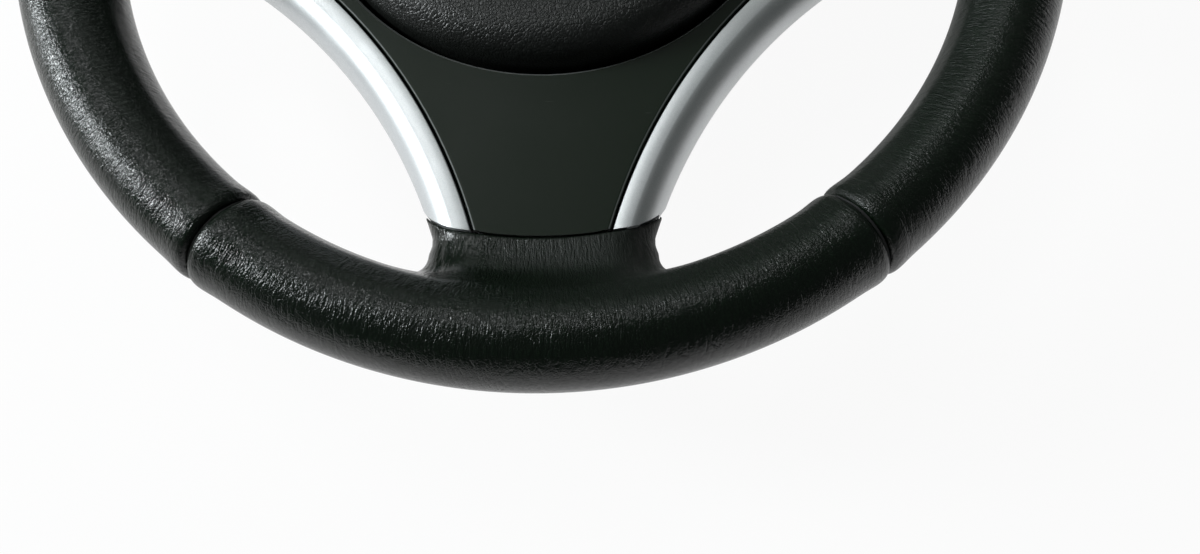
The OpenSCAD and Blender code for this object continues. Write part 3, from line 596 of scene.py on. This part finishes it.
# The rear cover is a thick moulding of grained black plastic, screwed to the bezel through five
# deep wells.
def moulded(name, colour, lighter, rough, grain_scale, depth, metal=0.0):
    """A plain moulded, cast or rolled finish, with fine grain and soft patches of gloss."""
    made, t, shade = finish_named(name)
    place = add(t, "TexCoord").outputs["Object"]
    fine = add(t, "TexNoise", {"Vector": place, "Scale": grain_scale, "Detail": 3.0}).outputs["Fac"]
    broad = add(t, "TexNoise", {"Vector": place, "Scale": 45.0, "Detail": 4.0}).outputs["Fac"]
    t.links.new(tint(t, ramp(t, broad, 0.3, 0.75), colour, lighter), shade.inputs["Base Color"])
    t.links.new(sums(t, "ADD", ramp(t, broad, 0.3, 0.7, rough - 0.05, rough + 0.05),
                     ramp(t, fine, 0.3, 0.7, -0.04, 0.04)), shade.inputs["Roughness"])
    shade.inputs["Metallic"].default_value = metal
    raised(t, shade, fine, 0.6, depth)
    return made


cover_plastic = moulded("cover_plastic", (0.013, 0.013, 0.014), (0.019, 0.019, 0.020), 0.55, 1600.0, 0.0001)
rear = wear(eased("rear_cover", "rear_moulding", 0.0006, stand_back=0.0012), cover_plastic)
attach(rear, "wheel")
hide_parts("rear_cover")

# The grip's core is foam, moulded over the armature's ring just under the leather. It shows only
# in the grooves between the panels.
under_leather, foam_step = 1.6, 3.0
foam = wear(skin("foam_core", lambda p: grip(p) + under_leather, (-190, -190, 40), (190, 190, 92), foam_step),
            moulded("moulded_foam", (0.02, 0.02, 0.021), (0.035, 0.035, 0.036), 0.8, 1200.0, 0.0003))
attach(foam, "wheel")
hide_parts("rim_foam")

# What the covers hide is seen only through the hub's opening and the gaps: the cast armature, the
# steel hub, and the airbag's tray, ring, generator, nuts, pins, bushes and wires.
finishes = {
    "armature": ("cast_magnesium", (0.33, 0.34, 0.34), (0.45, 0.45, 0.44), 0.55, 900.0, 0.00012, 0.8),
    "hub_insert": ("hub_steel", (0.30, 0.30, 0.31), (0.42, 0.42, 0.42), 0.35, 1400.0, 0.00004, 1.0),
    "airbag_housing": ("tray_steel", (0.38, 0.38, 0.37), (0.5, 0.5, 0.48), 0.38, 700.0, 0.00004, 1.0),
    "inflator": ("inflator_metal", (0.42, 0.42, 0.42), (0.55, 0.55, 0.54), 0.33, 900.0, 0.00003, 1.0),
    "inflator_nuts": ("screw_steel", (0.45, 0.44, 0.40), (0.56, 0.55, 0.5), 0.3, 1500.0, 0.00003, 1.0),
    "spring_insulators": ("bush_plastic", (0.55, 0.52, 0.42), (0.68, 0.65, 0.55), 0.45, 1200.0, 0.00005),
    "retaining_wires": ("spring_steel", (0.30, 0.31, 0.33), (0.42, 0.42, 0.44), 0.3, 2200.0, 0.00002, 1.0),
    "airbag_cushion": ("bag_fabric", (0.62, 0.61, 0.56), (0.75, 0.74, 0.7), 0.8, 1800.0, 0.0002),
}
plain = {node: moulded(*finish) for node, finish in finishes.items()}
plain["cushion_ring"] = plain["airbag_housing"]
plain["guide_pins"] = plain["inflator_nuts"]
plain["cover_screws"] = plain["inflator_nuts"]
for name, material in plain.items():
    wear(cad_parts[name], material)

# Three coil springs of drawn wire stand between the armature and the tray. Pressing the horn
# squeezes them.
turns, wire, coil_r = 2, 0.0006, 0.007
for name in ("horn_spring_1", "horn_spring_2", "horn_spring_3"):
    low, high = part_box(name)
    middle = (low + high) / 2
    points, sides, steps = [], 10, 48
    for s in range(turns * steps + 1):
        turn = 2 * pi * s / steps
        z = low.z + wire + (high.z - low.z - 2 * wire) * s / (turns * steps)
        for k in range(sides):
            around = 2 * pi * k / sides
            reach = coil_r + wire * cos(around)
            points.append((middle.x + reach * cos(turn), middle.y + reach * sin(turn), z + wire * sin(around)))
    mesh = bpy.data.meshes.new(name + "_coil")
    mesh.from_pydata(points, [], tube_faces(turns * steps + 1, sides))
    mesh.shade_smooth()
    coil = put(name + "_coil", mesh)
    wear(coil, plain["retaining_wires"])
    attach(coil, "wheel")
    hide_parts(name)
    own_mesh(coil)

# The floor is a wide sheet of white paper just under the wheel. It looks nearly pure white to the
# camera and in reflections, and keeps a soft shadow.
floor_z, floor_half = -0.0021, 3
corners = ((-1, -1), (1, -1), (1, 1), (-1, 1))
floor_mesh = bpy.data.meshes.new("floor")
floor_mesh.from_pydata([(x * floor_half, y * floor_half, floor_z) for x, y in corners], [], [(0, 1, 2, 3)])
floor = put("floor", floor_mesh)
paper, t, shade = finish_named("floor_paper")
shade.inputs["Base Color"].default_value = (0.85, 0.85, 0.85, 1)
shade.inputs["Roughness"].default_value = 0.9
white = add(t, "Emission", {"Color": (1, 1, 1, 1), "Strength": 1.0})
path = add(t, "LightPath")
seen = sums(t, "MAXIMUM", path.outputs["Is Camera Ray"], path.outputs["Is Glossy Ray"])
seen = sums(t, "MAXIMUM", seen, path.outputs["Is Transmission Ray"])
both = add(t, "MixShader", {0: sums(t, "MULTIPLY", seen, 0.94), 1: shade.outputs[0], 2: white.outputs[0]})
t.links.new(both.outputs[0], t.nodes["Material Output"].inputs["Surface"])
wear(floor, paper)

# The room is dim and a little green, and white where the camera sees it. The light comes from a
# low window on the left, with a lamp on the ceiling and two weak ones that stand for lit walls.
world = bpy.data.worlds.new("studio")
bpy.context.scene.world = world
world.use_nodes = True
t = world.node_tree
lit = t.nodes["Background"]
lit.inputs["Color"].default_value = (0.84, 0.92, 0.90, 1)
lit.inputs["Strength"].default_value = 0.09
pale = add(t, "Background", {"Color": (1, 1, 1, 1), "Strength": 1.0})
path = add(t, "LightPath")
both = add(t, "MixShader", {0: path.outputs["Is Camera Ray"], 1: lit.outputs[0], 2: pale.outputs[0]})
t.links.new(both.outputs[0], t.nodes["World Output"].inputs["Surface"])
lamps_aim = Vector((0, -0.06, 0.06))


def lamp(name, turn, rise, far, size, power, colour):
    """A soft rectangular lamp, far metres from the wheel's lower half, at a turn and a rise in degrees."""
    data = bpy.data.lights.new(name, "AREA")
    data.shape = "RECTANGLE"
    data.size, data.size_y = size
    data.energy = power
    data.color = colour
    made = put(name, data)
    turn, rise = radians(turn), radians(rise)
    way = Vector((cos(turn) * cos(rise), sin(turn) * cos(rise), sin(rise)))
    made.location = lamps_aim + way * far
    made.rotation_euler = (-way).to_track_quat("-Z", "Y").to_euler()


lamp("window", 172, 26, 1.6, (0.36, 0.5), 25, (0.93, 0.98, 1.0))
lamp("ceiling", 126, 61, 1.5, (0.5, 0.35), 5.0, (0.97, 1.0, 1.0))
lamp("far_wall", 94, 30, 1.6, (1.0, 0.4), 1.8, (0.9, 1.0, 0.94))
lamp("fill", 48, 50, 1.5, (0.8, 0.5), 0.3, (1.0, 0.98, 0.96))

bpy.context.scene.view_settings.view_transform = "Standard"
